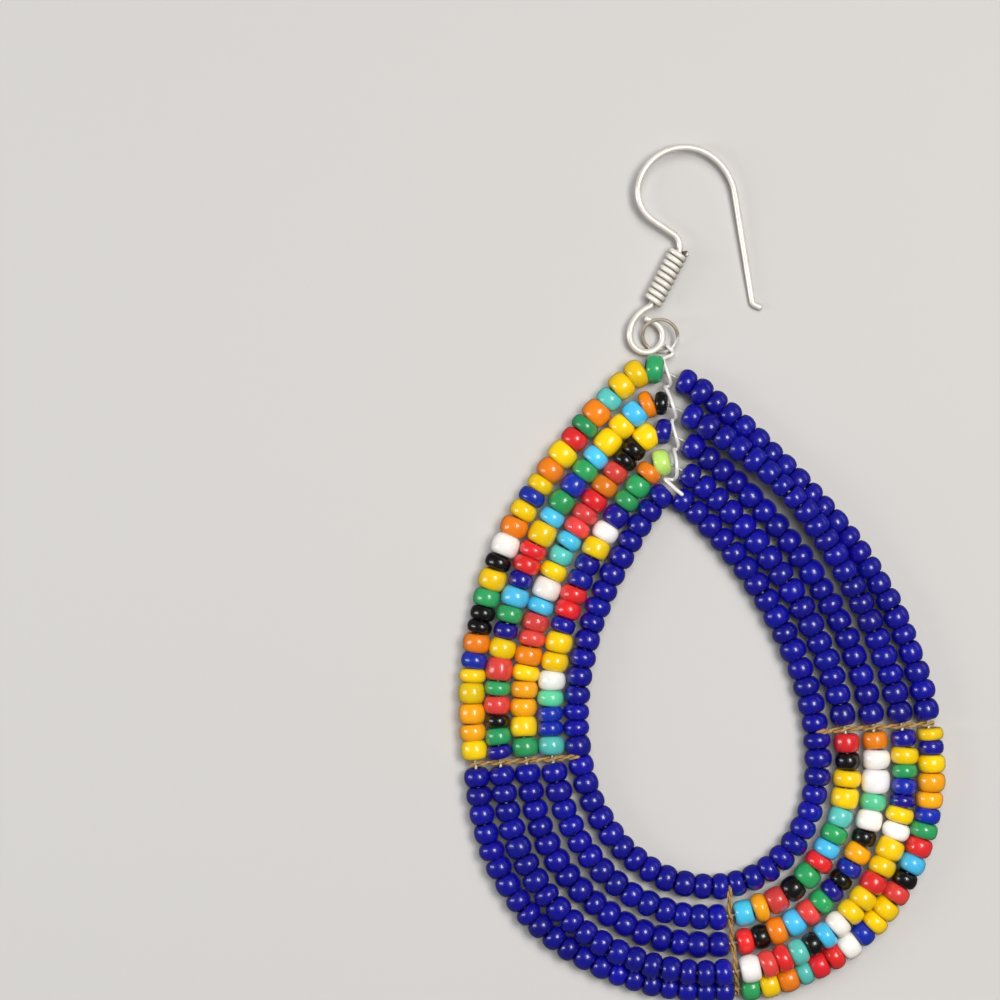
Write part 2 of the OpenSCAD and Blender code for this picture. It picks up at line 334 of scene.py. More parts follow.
def tint_group():
    """Mixes one colour into another by a mask times an amount."""
    group, source, result = node_group(
        "tint",
        [("Color", "NodeSocketColor", None), ("Tint", "NodeSocketColor", None),
         ("Mask", "NodeSocketFloat", 0.0), ("Amount", "NodeSocketFloat", 1.0)],
        [("Color", "NodeSocketColor")],
    )
    share = add(group, "ShaderNodeMath", operation="MULTIPLY", use_clamp=True)
    mix = add(group, "ShaderNodeMix", data_type="RGBA")
    group.links.new(source.outputs["Mask"], share.inputs[0])
    group.links.new(source.outputs["Amount"], share.inputs[1])
    group.links.new(share.outputs[0], mix.inputs["Factor"])
    group.links.new(source.outputs["Color"], mix.inputs["A"])
    group.links.new(source.outputs["Tint"], mix.inputs["B"])
    group.links.new(mix.outputs["Result"], result.inputs["Color"])
    return group


def uneven_group():
    """Makes a colour darker where the mask is 0 and lighter where it is 1, by the given share."""
    group, source, result = node_group(
        "uneven",
        [("Color", "NodeSocketColor", None), ("Mask", "NodeSocketFloat", 0.5),
         ("Share", "NodeSocketFloat", 0.1)],
        [("Color", "NodeSocketColor")],
    )
    centre = add(group, "ShaderNodeMath", operation="SUBTRACT", values={1: 0.5})
    doubled = add(group, "ShaderNodeMath", operation="MULTIPLY", values={1: 2.0})
    gain = add(group, "ShaderNodeMath", operation="MULTIPLY_ADD", values={2: 1.0})
    scale = add(group, "ShaderNodeVectorMath", operation="SCALE")
    group.links.new(source.outputs["Mask"], centre.inputs[0])
    group.links.new(centre.outputs[0], doubled.inputs[0])
    group.links.new(doubled.outputs[0], gain.inputs[0])
    group.links.new(source.outputs["Share"], gain.inputs[1])
    group.links.new(source.outputs["Color"], scale.inputs[0])
    group.links.new(gain.outputs[0], scale.inputs["Scale"])
    group.links.new(scale.outputs[0], result.inputs["Color"])
    return group


MOTTLE = mottle_group()
UNEVEN = uneven_group()
TINT = tint_group()


def new_material(name):
    """A material with a plain Principled shader, and its node tree."""
    material = bpy.data.materials.new(name)
    material.use_nodes = True
    tree = material.node_tree
    return material, tree, tree.nodes["Principled BSDF"]


def place_group(tree, group, links, **values):
    """Places a group in a material, with its values and what feeds it."""
    node = add(tree, "ShaderNodeGroup", node_tree=group)
    for label, value in values.items():
        node.inputs[label].default_value = value
    for label, socket in links.items():
        tree.links.new(socket, node.inputs[label])
    return node


def ranged(tree, socket, low, high):
    """The socket's 0 to 1 turned into low to high."""
    node = add(tree, "ShaderNodeMapRange", values={"To Min": low, "To Max": high})
    tree.links.new(socket, node.inputs["Value"])
    return node.outputs["Result"]


def bumped(tree, shader, socket, strength, distance):
    """Feeds the shader's normal with a bump of the given strength and, in metres, height."""
    node = add(tree, "ShaderNodeBump", values={"Strength": strength, "Distance": distance})
    tree.links.new(socket, node.inputs["Height"])
    tree.links.new(node.outputs["Normal"], shader.inputs["Normal"])


BORE_SHADOW = (0.006, 0.005, 0.006, 1.0)


def bead_glass():
    """Opaque glass, in each bead's own colour. It is slightly cloudy, lets a little light in, and has
    painted shade in the bore, fading out across the bead's ends. Its surface is slightly uneven, and duller
    in small spots."""
    material, tree, shader = new_material("bead_glass")
    place = add(tree, "ShaderNodeTexCoord")
    own = add(tree, "ShaderNodeAttribute", attribute_name="bead_colour")
    bore = add(tree, "ShaderNodeAttribute", attribute_name="towards_bore")
    cloud = place_group(tree, MOTTLE, {"Vector": place.outputs["Object"]}, Scale=650.0, Contrast=1.6)
    waves = place_group(tree, MOTTLE, {"Vector": place.outputs["Object"]}, Scale=1100.0, Contrast=1.0)
    dusty = place_group(tree, MOTTLE, {"Vector": place.outputs["Object"]}, Scale=3200.0, Contrast=3.0)
    cloudy = place_group(tree, UNEVEN, {"Color": own.outputs["Color"], "Mask": cloud.outputs["Mask"]},
                         Share=0.1)
    # Painted shade in the bore and on the bead's ends towards it
    dark = place_group(tree, TINT, {"Color": cloudy.outputs["Color"], "Mask": bore.outputs["Fac"]},
                       Tint=BORE_SHADOW, Amount=0.8)
    tree.links.new(dark.outputs["Color"], shader.inputs["Base Color"])
    tree.links.new(ranged(tree, dusty.outputs["Mask"], 0.26, 0.38), shader.inputs["Roughness"])
    bumped(tree, shader, waves.outputs["Mask"], 0.2, 0.00005)
    shader.inputs["IOR"].default_value = 1.5
    shader.inputs["Coat Weight"].default_value = 0.8
    shader.inputs["Coat Roughness"].default_value = 0.14
    shader.inputs["Subsurface Weight"].default_value = 0.12
    shader.inputs["Subsurface Radius"].default_value = (1.0, 1.0, 1.0)
    shader.inputs["Subsurface Scale"].default_value = 0.0003
    return material


# Brown of the painted shade in a wire's crevices and on its shaded side
SHADE_BROWN = (0.07, 0.045, 0.025, 1.0)


def silver(name, colour, tarnish, amount, rough, metallic):
    """Drawn silver-coloured wire: fine lines along it, warm tarnish in patches, small dull spots, and
    painted shade where a mesh marks it, as in the coil's crevices. Its plating has dulled, so part of the
    light is scattered."""
    material, tree, shader = new_material(name)
    place = add(tree, "ShaderNodeTexCoord")
    along = add(tree, "ShaderNodeMapping", values={"Scale": (0.35, 9.0, 1.0)})
    tree.links.new(place.outputs["UV"], along.inputs["Vector"])
    lines = place_group(tree, MOTTLE, {"Vector": along.outputs["Vector"]}, Scale=3.0, Contrast=2.5)
    patches = place_group(tree, MOTTLE, {"Vector": place.outputs["Object"]}, Scale=420.0, Contrast=3.0)
    spots = place_group(tree, MOTTLE, {"Vector": place.outputs["Object"]}, Scale=5200.0, Contrast=5.0)
    worn = place_group(tree, TINT, {"Mask": patches.outputs["Mask"]}, Color=(*colour, 1.0),
                       Tint=(*tarnish, 1.0), Amount=amount)
    lined = place_group(tree, TINT, {"Color": worn.outputs["Color"], "Mask": lines.outputs["Mask"]},
                        Tint=(*tarnish, 1.0), Amount=amount * 0.5)
    crevice = add(tree, "ShaderNodeAttribute", attribute_name="crevice")
    # Painted shade where the mesh marks it
    shade_painted = place_group(tree, TINT, {"Color": lined.outputs["Color"], "Mask": crevice.outputs["Fac"]},
                        Tint=SHADE_BROWN, Amount=0.9)
    tree.links.new(shade_painted.outputs["Color"], shader.inputs["Base Color"])
    tree.links.new(ranged(tree, spots.outputs["Mask"], rough, rough + 0.14), shader.inputs["Roughness"])
    bumped(tree, shader, lines.outputs["Mask"], 0.12, 0.00001)
    shader.inputs["Metallic"].default_value = metallic
    return material


# The ring's radius, the way from its middle to its painted glint, and where that begins and is full
RING_R = 1.75
GLINT_WAY = (0.64, -0.77)
GLINT_FROM = 0.74
GLINT_BY = 0.86


def ring_silver():
    """The hanger ring's silver: dull and brown, with a painted glint that makes its lower right bright. How
    far a point lies that way is its offset from the ring's middle times that direction, in ring radii."""
    material = silver("silver_ring", (0.66, 0.60, 0.52), (0.30, 0.23, 0.15), amount=0.7, rough=0.34,
                      metallic=0.4)
    tree, shader = material.node_tree, material.node_tree.nodes["Principled BSDF"]
    dull = shader.inputs["Base Color"].links[0].from_socket
    place = add(tree, "ShaderNodeTexCoord")
    middle = [float(c) for c in (RING_AT + TO_MODEL) * MM]
    offset = add(tree, "ShaderNodeVectorMath", operation="SUBTRACT", values={1: middle})
    way = (GLINT_WAY[0] / RING_R / MM, GLINT_WAY[1] / RING_R / MM, 0.0)
    along = add(tree, "ShaderNodeVectorMath", operation="DOT_PRODUCT", values={1: way})
    share = add(tree, "ShaderNodeMapRange", values={"From Min": GLINT_FROM, "From Max": GLINT_BY})
    tree.links.new(place.outputs["Object"], offset.inputs[0])
    tree.links.new(offset.outputs["Vector"], along.inputs[0])
    tree.links.new(along.outputs["Value"], share.inputs["Value"])
    # Painted glint: near-white on the ring's lower right
    lightened = place_group(tree, TINT, {"Color": dull, "Mask": share.outputs["Result"]},
                         Tint=(1.0, 0.98, 0.94, 1.0), Amount=0.9)
    tree.links.new(lightened.outputs["Color"], shader.inputs["Base Color"])
    return material


def waxed_thread():
    """Golden-brown twisted thread: fibres along the twist, lighter where they are rubbed, and painted
    shade, dark brown, where the strands lie against each other."""
    material, tree, shader = new_material("gold_thread")
    place = add(tree, "ShaderNodeTexCoord")
    crevice = add(tree, "ShaderNodeAttribute", attribute_name="crevice")
    along = add(tree, "ShaderNodeMapping", values={"Scale": (1.2, 14.0, 1.0), "Rotation": (0.0, 0.0, 0.5)})
    tree.links.new(place.outputs["UV"], along.inputs["Vector"])
    fibres = place_group(tree, MOTTLE, {"Vector": along.outputs["Vector"]}, Scale=2.2, Contrast=3.6)
    patches = place_group(tree, MOTTLE, {"Vector": place.outputs["Object"]}, Scale=900.0, Contrast=2.5)
    lightened = place_group(tree, TINT, {"Mask": fibres.outputs["Mask"]}, Color=(0.25, 0.115, 0.022, 1.0),
                         Tint=(0.86, 0.56, 0.21, 1.0), Amount=0.95)
    stained = place_group(tree, TINT, {"Color": lightened.outputs["Color"], "Mask": patches.outputs["Mask"]},
                          Tint=(0.14, 0.06, 0.014, 1.0), Amount=0.4)
    # Painted shade: dark brown where the strands lie against each other
    shade_painted = place_group(tree, TINT, {"Color": stained.outputs["Color"], "Mask": crevice.outputs["Fac"]},
                        Tint=(0.055, 0.025, 0.008, 1.0), Amount=0.95)
    tree.links.new(shade_painted.outputs["Color"], shader.inputs["Base Color"])
    tree.links.new(ranged(tree, fibres.outputs["Mask"], 0.4, 0.65), shader.inputs["Roughness"])
    bumped(tree, shader, fibres.outputs["Mask"], 0.6, 0.00004)
    shader.inputs["Sheen Weight"].default_value = 0.12
    return material


GLASS = bead_glass()
HOOK_SILVER = silver("silver_hook", (1.0, 0.97, 0.91), (0.62, 0.50, 0.35), amount=0.28, rough=0.3,
                     metallic=0.4)
COIL_SILVER = silver("silver_coil", (1.0, 0.97, 0.90), (0.52, 0.40, 0.26), amount=0.22, rough=0.3,
                     metallic=0.22)
LACING_SILVER = silver("silver_lacing", (1.0, 0.99, 0.97), (0.74, 0.68, 0.60), amount=0.2, rough=0.28,
                       metallic=0.3)
RING_SILVER = ring_silver()
CORE_SILVER = silver("silver_core", (0.86, 0.84, 0.81), (0.45, 0.40, 0.34), amount=0.5, rough=0.3,
                     metallic=0.5)
THREAD = waxed_thread()

# Beads

# Closed outline of half a bead's section: how far along the bore, from -1 to 1, and how far from the
# bore's wall, 0, to the outside, 1
BLUE_SECTION = np.array([(0, 1), (0.62, 0.84), (1, 0.42), (0.7, 0), (-0.7, 0), (-1, 0.42), (-0.62, 0.84)])
MIXED_SECTION = np.array([(0, 1), (0.70, 0.94), (1, 0.50), (0.7, 0), (-0.7, 0), (-1, 0.50), (-0.70, 0.94)])

# How far from the blue towards the mixed section a mixed bead is at least and at most, and how many
# sections there are round a bead
SQUARENESS = (0.3, 1.0)
BEAD_SIDES = 12

# How unlike a bead is to a true one: tilt of its bore, and how much thicker and longer one side is
TILT = 0.045
LOPSIDED = 0.018
WEDGE = 0.03

# How soon the painted shade of the bore ends on the way to a bead's outside
BORE_SHADE = 1.6

# Draws for the beads' shapes, and for the order of the mixed colours, which has few like neighbours
rng = np.random.default_rng(31)
dealer = np.random.default_rng(155)


def shuffled_colours():
    """Names of the mixed beads' colours, one for each such bead and one to spare, shuffled. The four
    beads at the top gap are left out. Going along, a bead is now and then swapped for a later one of
    the colour before it, and after two alike for one of another colour."""
    names = [name for name, (rgb, beads, size) in MIXED_GLASS.items() for _ in range(beads)]
    for name in LAST_COLOURS[1:]:
        names.remove(name)
    dealer.shuffle(names)
    for i in range(2, len(names)):
        two_alike = names[i - 1] == names[i - 2]
        if two_alike or dealer.random() < DOUBLE_CHANCE:
            later = [j for j in range(i, len(names)) if (names[j] == names[i - 1]) != two_alike]
            if later:
                names[i], names[later[0]] = names[later[0]], names[i]
    return names


mixed_names = shuffled_colours()


def shaded(rgb, count, spread):
    """Linear colours of count beads, each a little lighter or darker than the next."""
    base = np.broadcast_to(np.asarray(rgb, float).reshape(-1, 3), (count, 3))
    lift = rng.normal(1, spread, (count, 1))
    return linear(np.clip(base * lift + rng.normal(0, HUE_SPREAD, (count, 3)), 0, 255))


def stretch(start, end, count, radius, length_spread, size=1.0):
    """Beads that fill a stretch of string: the length run to each one's middle, its length and radius.
    A length is at most three spreads less and two more than usual, and a bead of a bigger sort is
    longer by the square of its size."""
    share = np.clip(rng.normal(1, length_spread, count), 1 - 3 * length_spread, 1 + 2 * length_spread)
    share = share * size**2
    length = share * (end - start) / share.sum()
    middle = start + np.cumsum(length) - length / 2
    return middle, length * TOUCH, np.clip(rng.normal(*radius, count) * size, *BEAD_LIMITS)


def blue_beads(start, end, count):
    """Middle, length, radius, colour and squareness of a blue stretch's beads."""
    middle, length, radius = stretch(start, end, count, BLUE_R, LENGTH_SPREAD_BLUE)
    return middle, length, radius, shaded(BLUE_GLASS, count, BLUE_SHADES), np.zeros(count)


def mixed_beads(start, end, count, last=None):
    """Middle, length, radius, colour and squareness of a mixed stretch's beads."""
    names = [mixed_names.pop() for _ in range(count - 1)] + [last or mixed_names.pop()]
    rgb = [MIXED_GLASS[n][0] for n in names]
    size = np.array([MIXED_GLASS[n][2] for n in names])
    middle, length, radius = stretch(start, end, count, MIXED_R, LENGTH_SPREAD_MIXED, size)
    return middle, length, radius, shaded(rgb, count, MIXED_SHADES), rng.uniform(*SQUARENESS, count)


def beads_of(k):
    """All beads of string k, clockwise from the gap at its top: angle, length, radius, colour and
    squareness."""
    t, run = lengths_along(k)
    def at(angle):
        return np.interp(angle, t, run)
    start, end = at(GAPS[k][1]), at(360 + GAPS[k][0])
    if TIES[k] is None:
        parts = [blue_beads(start, end, INNER_COUNT)]
    else:
        ties, count, half = at(np.array(TIES[k])), COUNTS[k], TIE_GAP / 2
        parts = [
            blue_beads(start, ties[0] - half, count[0]),
            mixed_beads(ties[0] + half, ties[1] - half, count[1]),
            blue_beads(ties[1] + half, ties[2] - half, count[2]),
            mixed_beads(ties[2] + half, end, count[3], LAST_COLOURS[k]),
        ]
    middle, length, radius, colour, square = (np.concatenate(p) for p in zip(*parts))
    return np.interp(middle, run, t), length, radius, colour, square


def room_for_beads(k, middle):
    """The radius that beads of string k may have before they press into a string beside it: half the
    way from their middles to that string, and a little more."""
    t = np.arange(0, 360, 1.0)
    room = np.full(len(middle), BEAD_LIMITS[1])
    for beside in (k - 1, k + 1):
        if 0 <= beside <= OUTER:
            apart = np.linalg.norm(middle[:, None, :] - string_at(beside, t)[None], axis=2).min(1)
            room = np.minimum(room, apart / 2 + OVERLAP)
    return room


def pulled_in(section):
    """Section after one step of smoothing, which moves each point a quarter of the way to the middle
    between its neighbours."""
    return (np.roll(section, 1, 0) + 6 * section + np.roll(section, -1, 0)) / 8


def bead_sections(square):
    """A section for each bead, between the blue and the mixed one by its squareness, made bigger by
    what the subdivision pulls in."""
    section = BLUE_SECTION + square[:, None, None] * (MIXED_SECTION - BLUE_SECTION)
    pulled = np.abs(np.stack([pulled_in(s) for s in section])).max(1)
    return section / pulled[:, None, :]


def tilted(way, out, up):
    """Directions and sides of the beads, each tilted a little off its string's."""
    count = len(way)
    way = way + rng.normal(0, TILT, (count, 1)) * out + rng.normal(0, TILT, (count, 1)) * up
    way /= np.linalg.norm(way, axis=1, keepdims=True)
    out = np.cross(up, way)
    out /= np.linalg.norm(out, axis=1, keepdims=True)
    return way, out, np.cross(way, out)


def turned_sections(section, length, radius, way, out, up):
    """Points of the beads about their middles: each section turned round the bore, from a place of its
    own. Round it, the thickness grows by a share times a cosine, and so does the length. The radius is
    made up for what the subdivision pulls in between two points a step of the turn apart."""
    count = len(length)
    step = TURN / BEAD_SIDES
    angle = rng.uniform(0, step, (count, 1)) + step * np.arange(BEAD_SIDES)
    thicker = 1 + LOPSIDED * np.cos(angle + rng.uniform(0, TURN, (count, 1)))
    longer = 1 + WEDGE * rng.normal(0, 1, (count, 1)) * np.cos(angle + rng.uniform(0, TURN, (count, 1)))
    made_up = 8 / (6 + 2 * np.cos(step))

    along = section[:, :, :1] * (length / 2)[:, None, None] * longer[:, None, :]
    wall = BORE_R + section[:, :, 1:] * (radius - BORE_R)[:, None, None]
    wall = wall * thicker[:, None, :] * made_up
    spoke = np.cos(angle)[..., None] * out[:, None, :] + np.sin(angle)[..., None] * up[:, None, :]
    return along[..., None] * way[:, None, None, :] + wall[..., None] * spoke[:, None, :, :]


def bead_string(k):
    """String k as one mesh of beads, with as few faces as stay round under one subdivision. A bead is
    no bigger than its room, doesn't sink into the table, and stays under the highest place. Gives back
    the angles round the drop where the beads are."""
    t, length, radius, colour, square = beads_of(k)
    count = len(t)
    middle, way, out, up = frames_at(k, t)
    radius = np.minimum(radius, room_for_beads(k, middle))
    middle[:, 2] = np.maximum(middle[:, 2], radius)
    radius = np.minimum(radius, HIGHEST_BEAD - middle[:, 2])
    way, out, up = tilted(way, out, up)
    section = bead_sections(square)
    verts = middle[:, None, None, :] + turned_sections(section, length, radius, way, out, up)

    ring = len(BLUE_SECTION)
    faces = grid_faces(ring, BEAD_SIDES, True)[None] + (np.arange(count) * ring * BEAD_SIDES)[:, None, None]
    obj = mesh_object(f"beads_{k + 1}", verts, faces.reshape(-1, 4).tolist(), GLASS)
    per_point = np.repeat(np.concatenate([colour, np.ones((count, 1))], 1), ring * BEAD_SIDES, 0)
    point_values(obj, "bead_colour", "FLOAT_COLOR", per_point)
    from_bore = np.clip(section[:, :, 1:], 0, 1) * np.ones((1, 1, BEAD_SIDES))
    point_values(obj, "towards_bore", "FLOAT", np.clip(1 - BORE_SHADE * from_bore, 0, 1))
    smooth = obj.modifiers.new("smooth", "SUBSURF")
    smooth.levels = smooth.render_levels = 1
    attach(obj, "root")
    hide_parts(f"bead_row_{k + 1}")
    return t


# Wires

# A direction that no wire starts in
ASKEW = (0.31, 0.52, 0.79)


def carried_sides(way):
    """A side for each ring of a line, turned as little as it can be from the one before."""
    side = np.zeros_like(way)
    side[0] = np.cross(way[0], ASKEW)
    side[0] /= np.linalg.norm(side[0])
    for i in range(1, len(way)):
        s = side[i - 1] - way[i] * (side[i - 1] @ way[i])
        side[i] = s / np.linalg.norm(s)
    return side


# Angles, from the tip down, of the rings that round off a wire's end
CAP_ANGLES = np.radians([85, 62, 38, 18])


def ways_along(line, closed):
    """Direction of a line at each of its points, from the point before to the point after."""
    way = np.roll(line, -1, 0) - np.roll(line, 1, 0)
    if not closed:
        way[0], way[-1] = line[1] - line[0], line[-1] - line[-2]
    return way / np.linalg.norm(way, axis=1, keepdims=True)


def rounded_end(point, way, radius, blunt):
    """Middles and radii of the rings past a wire's end: out by the sine of the cap's angles, and in by
    their cosine. A low bluntness makes the end flatter."""
    out = point + way * np.mean(radius) * blunt * np.sin(CAP_ANGLES)[:, None]
    return out, np.multiply.outer(np.cos(CAP_ANGLES), radius)


def with_ends(line, way, side, radius, blunt):
    """An open wire's line, ways, sides and radii, with its rounded ends."""
    head, head_r = rounded_end(line[0], -way[0], radius[0], blunt)
    tail, tail_r = rounded_end(line[-1], way[-1], radius[-1], blunt)
    rings = len(CAP_ANGLES)
    line = np.concatenate([head, line, tail[::-1]])
    way = np.concatenate([np.repeat(way[:1], rings, 0), way, np.repeat(way[-1:], rings, 0)])
    side = np.concatenate([np.repeat(side[:1], rings, 0), side, np.repeat(side[-1:], rings, 0)])
    return line, way, side, np.concatenate([head_r, radius, tail_r[::-1]])


def untwisted(way, side):
    """Sides of a closed line, each turned by its share of the angle by which the last side misses the
    first."""
    missing = math.atan2(np.dot(np.cross(side[-1], side[0]), way[0]), np.dot(side[-1], side[0]))
    share = np.linspace(0, missing, len(side))[:, None]
    return side * np.cos(share) + np.cross(way, side) * np.sin(share)


def swept(name, line, radius, material, sides, closed=False, blunt=1.0):
    """A round wire along a line: circles square to it. The radius is one number, or one for each point
    of each circle."""
    way = ways_along(line, closed)
    side = carried_sides(way)
    if np.ndim(radius) == 0:
        radius = np.full(len(line), radius)
    if closed:
        side = untwisted(way, side)
    else:
        line, way, side, radius = with_ends(line, way, side, radius, blunt)
    other = np.cross(way, side)
    angle = np.linspace(0, TURN, sides, endpoint=False)[None, :, None]
    spoke = np.cos(angle) * side[:, None, :] + np.sin(angle) * other[:, None, :]
    verts = line[:, None, :] + radius.reshape(len(line), -1, 1) * spoke
    faces = grid_faces(len(line), sides, closed)[:, ::-1].tolist()
    if not closed:
        last = (len(line) - 1) * sides
        faces += [list(range(sides)), list(range(last + sides - 1, last - 1, -1))]
    obj = mesh_object(name, verts, faces, material)
    steps = np.linalg.norm(np.diff(line, axis=0), axis=1)
    tube_uv(obj, np.concatenate([[0], np.cumsum(steps)]), sides)
    return obj


def silver_piece(obj, *nodes):
    """Finishes a silver piece, which stands for the named nodes."""
    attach(obj, "root")
    if nodes:
        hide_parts(*nodes)
    return obj


# The ear hook: its wire's radius, where its shank starts, how far that leans to the right in degrees,
# and its wire up from there and down round the eye, each as a chain of bends (radius, turn to the left)
# and straights (0, length). Then about how far its points are apart, and the fewest steps in a bend.
HOOK_WIRE_R = 0.33
SHANK_FOOT = np.array([0.9, 37.84])
SHANK_LEAN = 36.3
HOOK_CHAIN = [
    (0, 5.8), (1.5, 84), (0, 2.4), (3.5, -73), (4.75, -111.5), (5.8, -42.5), (0, 10.9), (0.45, 57), (0, 0.6)
]
EYE_CHAIN = [(0.5, -40), (3.1, 67), (1.67, 139), (1.57, 106), (0, 0.85)]
WIRE_STEP = 0.15
BEND_STEPS = 8

# The coil: radius to its outside, its wire's radius, rise in a turn, turns, where its lowest turn starts
# on the shank and, in degrees, round it, and its steps in a turn
COIL_R = 1.05
COIL_WIRE_R = 0.295
COIL_PITCH = 0.64
COIL_TURNS = 9
COIL_FOOT = 0.085
COIL_FOOT_TURN = 20
COIL_TURN_STEPS = 28

# Where the painted shade on the coil's right side begins, as a share of its radius, and how strong it gets
RIGHT_SHADE_FROM = 0.3
RIGHT_SHADE = 0.5


def chain_line(chain, start):
    """Points of a chain of bends and straights that starts at the origin with the heading given, in
    degrees, about a wire step apart. A bend of radius r that turns by a moves from heading h by r times
    (cos(h+a) - cos h, sin(h+a) - sin h)."""
    at, h, points = np.zeros(2), math.radians(start), [np.zeros((1, 2))]
    for radius, size in chain:
        if radius == 0:
            u = np.linspace(0, size, max(int(size / WIRE_STEP), 1) + 1)[1:, None]
            piece = at + u * np.array([-math.sin(h), math.cos(h)])
        else:
            turn = math.radians(size)
            steps = max(int(abs(turn) * radius / WIRE_STEP), BEND_STEPS)
            a = h + np.linspace(0, turn, steps + 1)[1:]
            r = math.copysign(radius, turn)
            piece = at + r * np.stack([np.cos(a) - math.cos(h), np.sin(a) - math.sin(h)], -1)
            h += turn
        points.append(piece)
        at = piece[-1]
    return np.concatenate(points)


def on_shank(local):
    """Points across, along and above the shank, put where the hook lies: tipped about the coil's axis
    until the leg's end touches the table, and leant to the right of the drop."""
    leg_end = chain_line(HOOK_CHAIN, 0)[-1]
    tip = math.asin((COIL_R - HOOK_WIRE_R) / leg_end[0])
    lean = math.radians(SHANK_LEAN)
    across = local[:, 0] * math.cos(tip) + local[:, 2] * math.sin(tip)
    x = SHANK_FOOT[0] + across * math.cos(lean) + local[:, 1] * math.sin(lean)
    y = SHANK_FOOT[1] - across * math.sin(lean) + local[:, 1] * math.cos(lean)
    return np.stack([x, y, COIL_R - local[:, 0] * math.sin(tip) + local[:, 2] * math.cos(tip)], -1)


def ear_hook():
    """One bent wire: the eye's tucked end, round the eye, up the shank, over the arch and down the leg."""
    eye = chain_line(EYE_CHAIN, 180)[:0:-1]
    line = np.concatenate([eye, chain_line(HOOK_CHAIN, 0)])
    flat = np.concatenate([line, np.zeros((len(line), 1))], 1)
    wire = swept("hook_wire", on_shank(flat), HOOK_WIRE_R, HOOK_SILVER, sides=16, blunt=0.6)
    return silver_piece(wire, "ear_hook")


def hook_coil():
    """Left-handed helix round the shank, which rises by the pitch in each turn. The wire is marked for
    painted shade in the crevices towards the shank and, less, on the coil's right side."""
    turn = np.linspace(0, COIL_TURNS, COIL_TURNS * COIL_TURN_STEPS + 1)
    a = np.radians(COIL_FOOT_TURN + 360 * turn)
    r = COIL_R - COIL_WIRE_R
    along = COIL_FOOT + COIL_WIRE_R + COIL_PITCH * turn
    line = on_shank(np.stack([r * np.cos(a), along, r * np.sin(a)], -1))
    wire = swept("coil_wire", line, COIL_WIRE_R, COIL_SILVER, sides=14, blunt=0.4)

    middle, further, beside = on_shank(np.array([[0.0, 0, 0], [0, 1, 0], [1, 0, 0]]))
    from_middle = points_of(wire) - middle
    from_axis = np.linalg.norm(np.cross(from_middle, further - middle), axis=1)
    inner = np.clip((COIL_R - from_axis) / COIL_WIRE_R, 0, 1)
    to_right = from_middle @ (beside - middle) / COIL_R
    right = np.clip((to_right - RIGHT_SHADE_FROM) / (1 - RIGHT_SHADE_FROM), 0, 1)
    # Painted shade: strongest towards the shank, weaker on the coil's right side
    point_values(wire, "crevice", "FLOAT", np.maximum(inner**1.6, RIGHT_SHADE * right))
    return silver_piece(wire, "hook_coil")


def hanger_ring():
    """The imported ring, which shows as it is, in its own silver."""
    frame["nodes"]["hanger_ring"].material_slots[0].material = RING_SILVER


# The lacing wire: its radius, its route in the drop's frame, and the steps between two of its places
LACING_R = 0.2
LACING_STEPS = 6
LACING_ROUTE = np.array([
    [2.0, 33.35, 0.17], [1.85, 33.56, 0.6], [2.15, 33.14, 1.02], [2.36, 32.78, 0.75], [2.05, 32.5, 0.9],
    [1.55, 32.4, 1.15], [1.22, 32.2, 1.4], [1.29, 31.6, 1.6], [1.42, 30.9, 1.68], [1.55, 30.2, 1.55],
    [1.6, 29.75, 1.1], [1.4, 29.5, 0.82], [1.14, 29.5, 0.85], [0.97, 29.47, 1.25], [1.12, 29.05, 1.85],
    [1.3, 28.2, 2.2], [1.46, 27.25, 2.28], [1.58, 26.5, 1.7], [1.58, 26.22, 1.1], [1.42, 26.12, 0.8],
    [1.2, 26.12, 1.05], [1.13, 25.7, 1.5], [1.2, 25.0, 1.72], [1.32, 24.2, 1.72], [1.44, 23.55, 1.3],
    [1.38, 23.22, 0.9], [1.12, 23.15, 0.88], [0.92, 23.15, 1.25], [0.93, 22.55, 1.9], [0.93, 21.9, 2.12],
    [0.87, 21.2, 2.12], [0.76, 20.5, 1.7], [0.42, 20.22, 1.25], [-0.05, 20.28, 1.4], [-0.45, 20.36, 1.85],
    [-0.1, 19.9, 2.2], [0.45, 19.2, 2.47], [0.95, 18.64, 2.53],
])


def smooth_line(route, steps):
    """A smooth line through a route's points. Between b and c, with a before and d after, it is half of
    2b + (c-a)u + (2a-5b+4c-d)u^2 + (3b-a-3c+d)u^3 for u from 0 to 1."""
    n = len(route)
    i = np.arange(n - 1)[:, None]
    u = (np.arange(steps) / steps)[None, :, None]
    a, b, c, d = (route[np.clip(i + j, 0, n - 1)] for j in (-1, 0, 1, 2))
    square, cube = 2 * a - 5 * b + 4 * c - d, 3 * b - a - 3 * c + d
    line = (2 * b + (c - a) * u + square * u**2 + cube * u**3) / 2
    return np.concatenate([line.reshape(-1, 3), route[-1:]])


def top_lashing():
    """The lacing wire: hooked round the ring, in front of each string and behind between them."""
    line = smooth_line(LACING_ROUTE, LACING_STEPS)
    return silver_piece(swept("lacing_wire", line, LACING_R, LACING_SILVER, sides=12), "top_lashing")


def core_wire(k):
    """The wire that string k is strung on, a closed loop through its beads' bores."""
    line = string_at(k, np.arange(0, 360, CORE_STEP))
    wire = swept(f"core_wire_{k + 1}", line, CORE_WIRE_R, CORE_SILVER, sides=8, closed=True)
    return silver_piece(wire)


# Thread ties

# A strand: its radius and sides, the length over which its plies turn half round, how much they stand
# out, and the steps between two places of its route
THREAD_R = 0.15
THREAD_SIDES = 14
PLY_PITCH = 0.8
PLY_DEPTH = 0.2
TIE_STEPS = 32

# The strings that a thread ties together, and how near to the last of them the tie ends
TIED = (4, 3, 2, 1)
END_WITHIN = 5.0

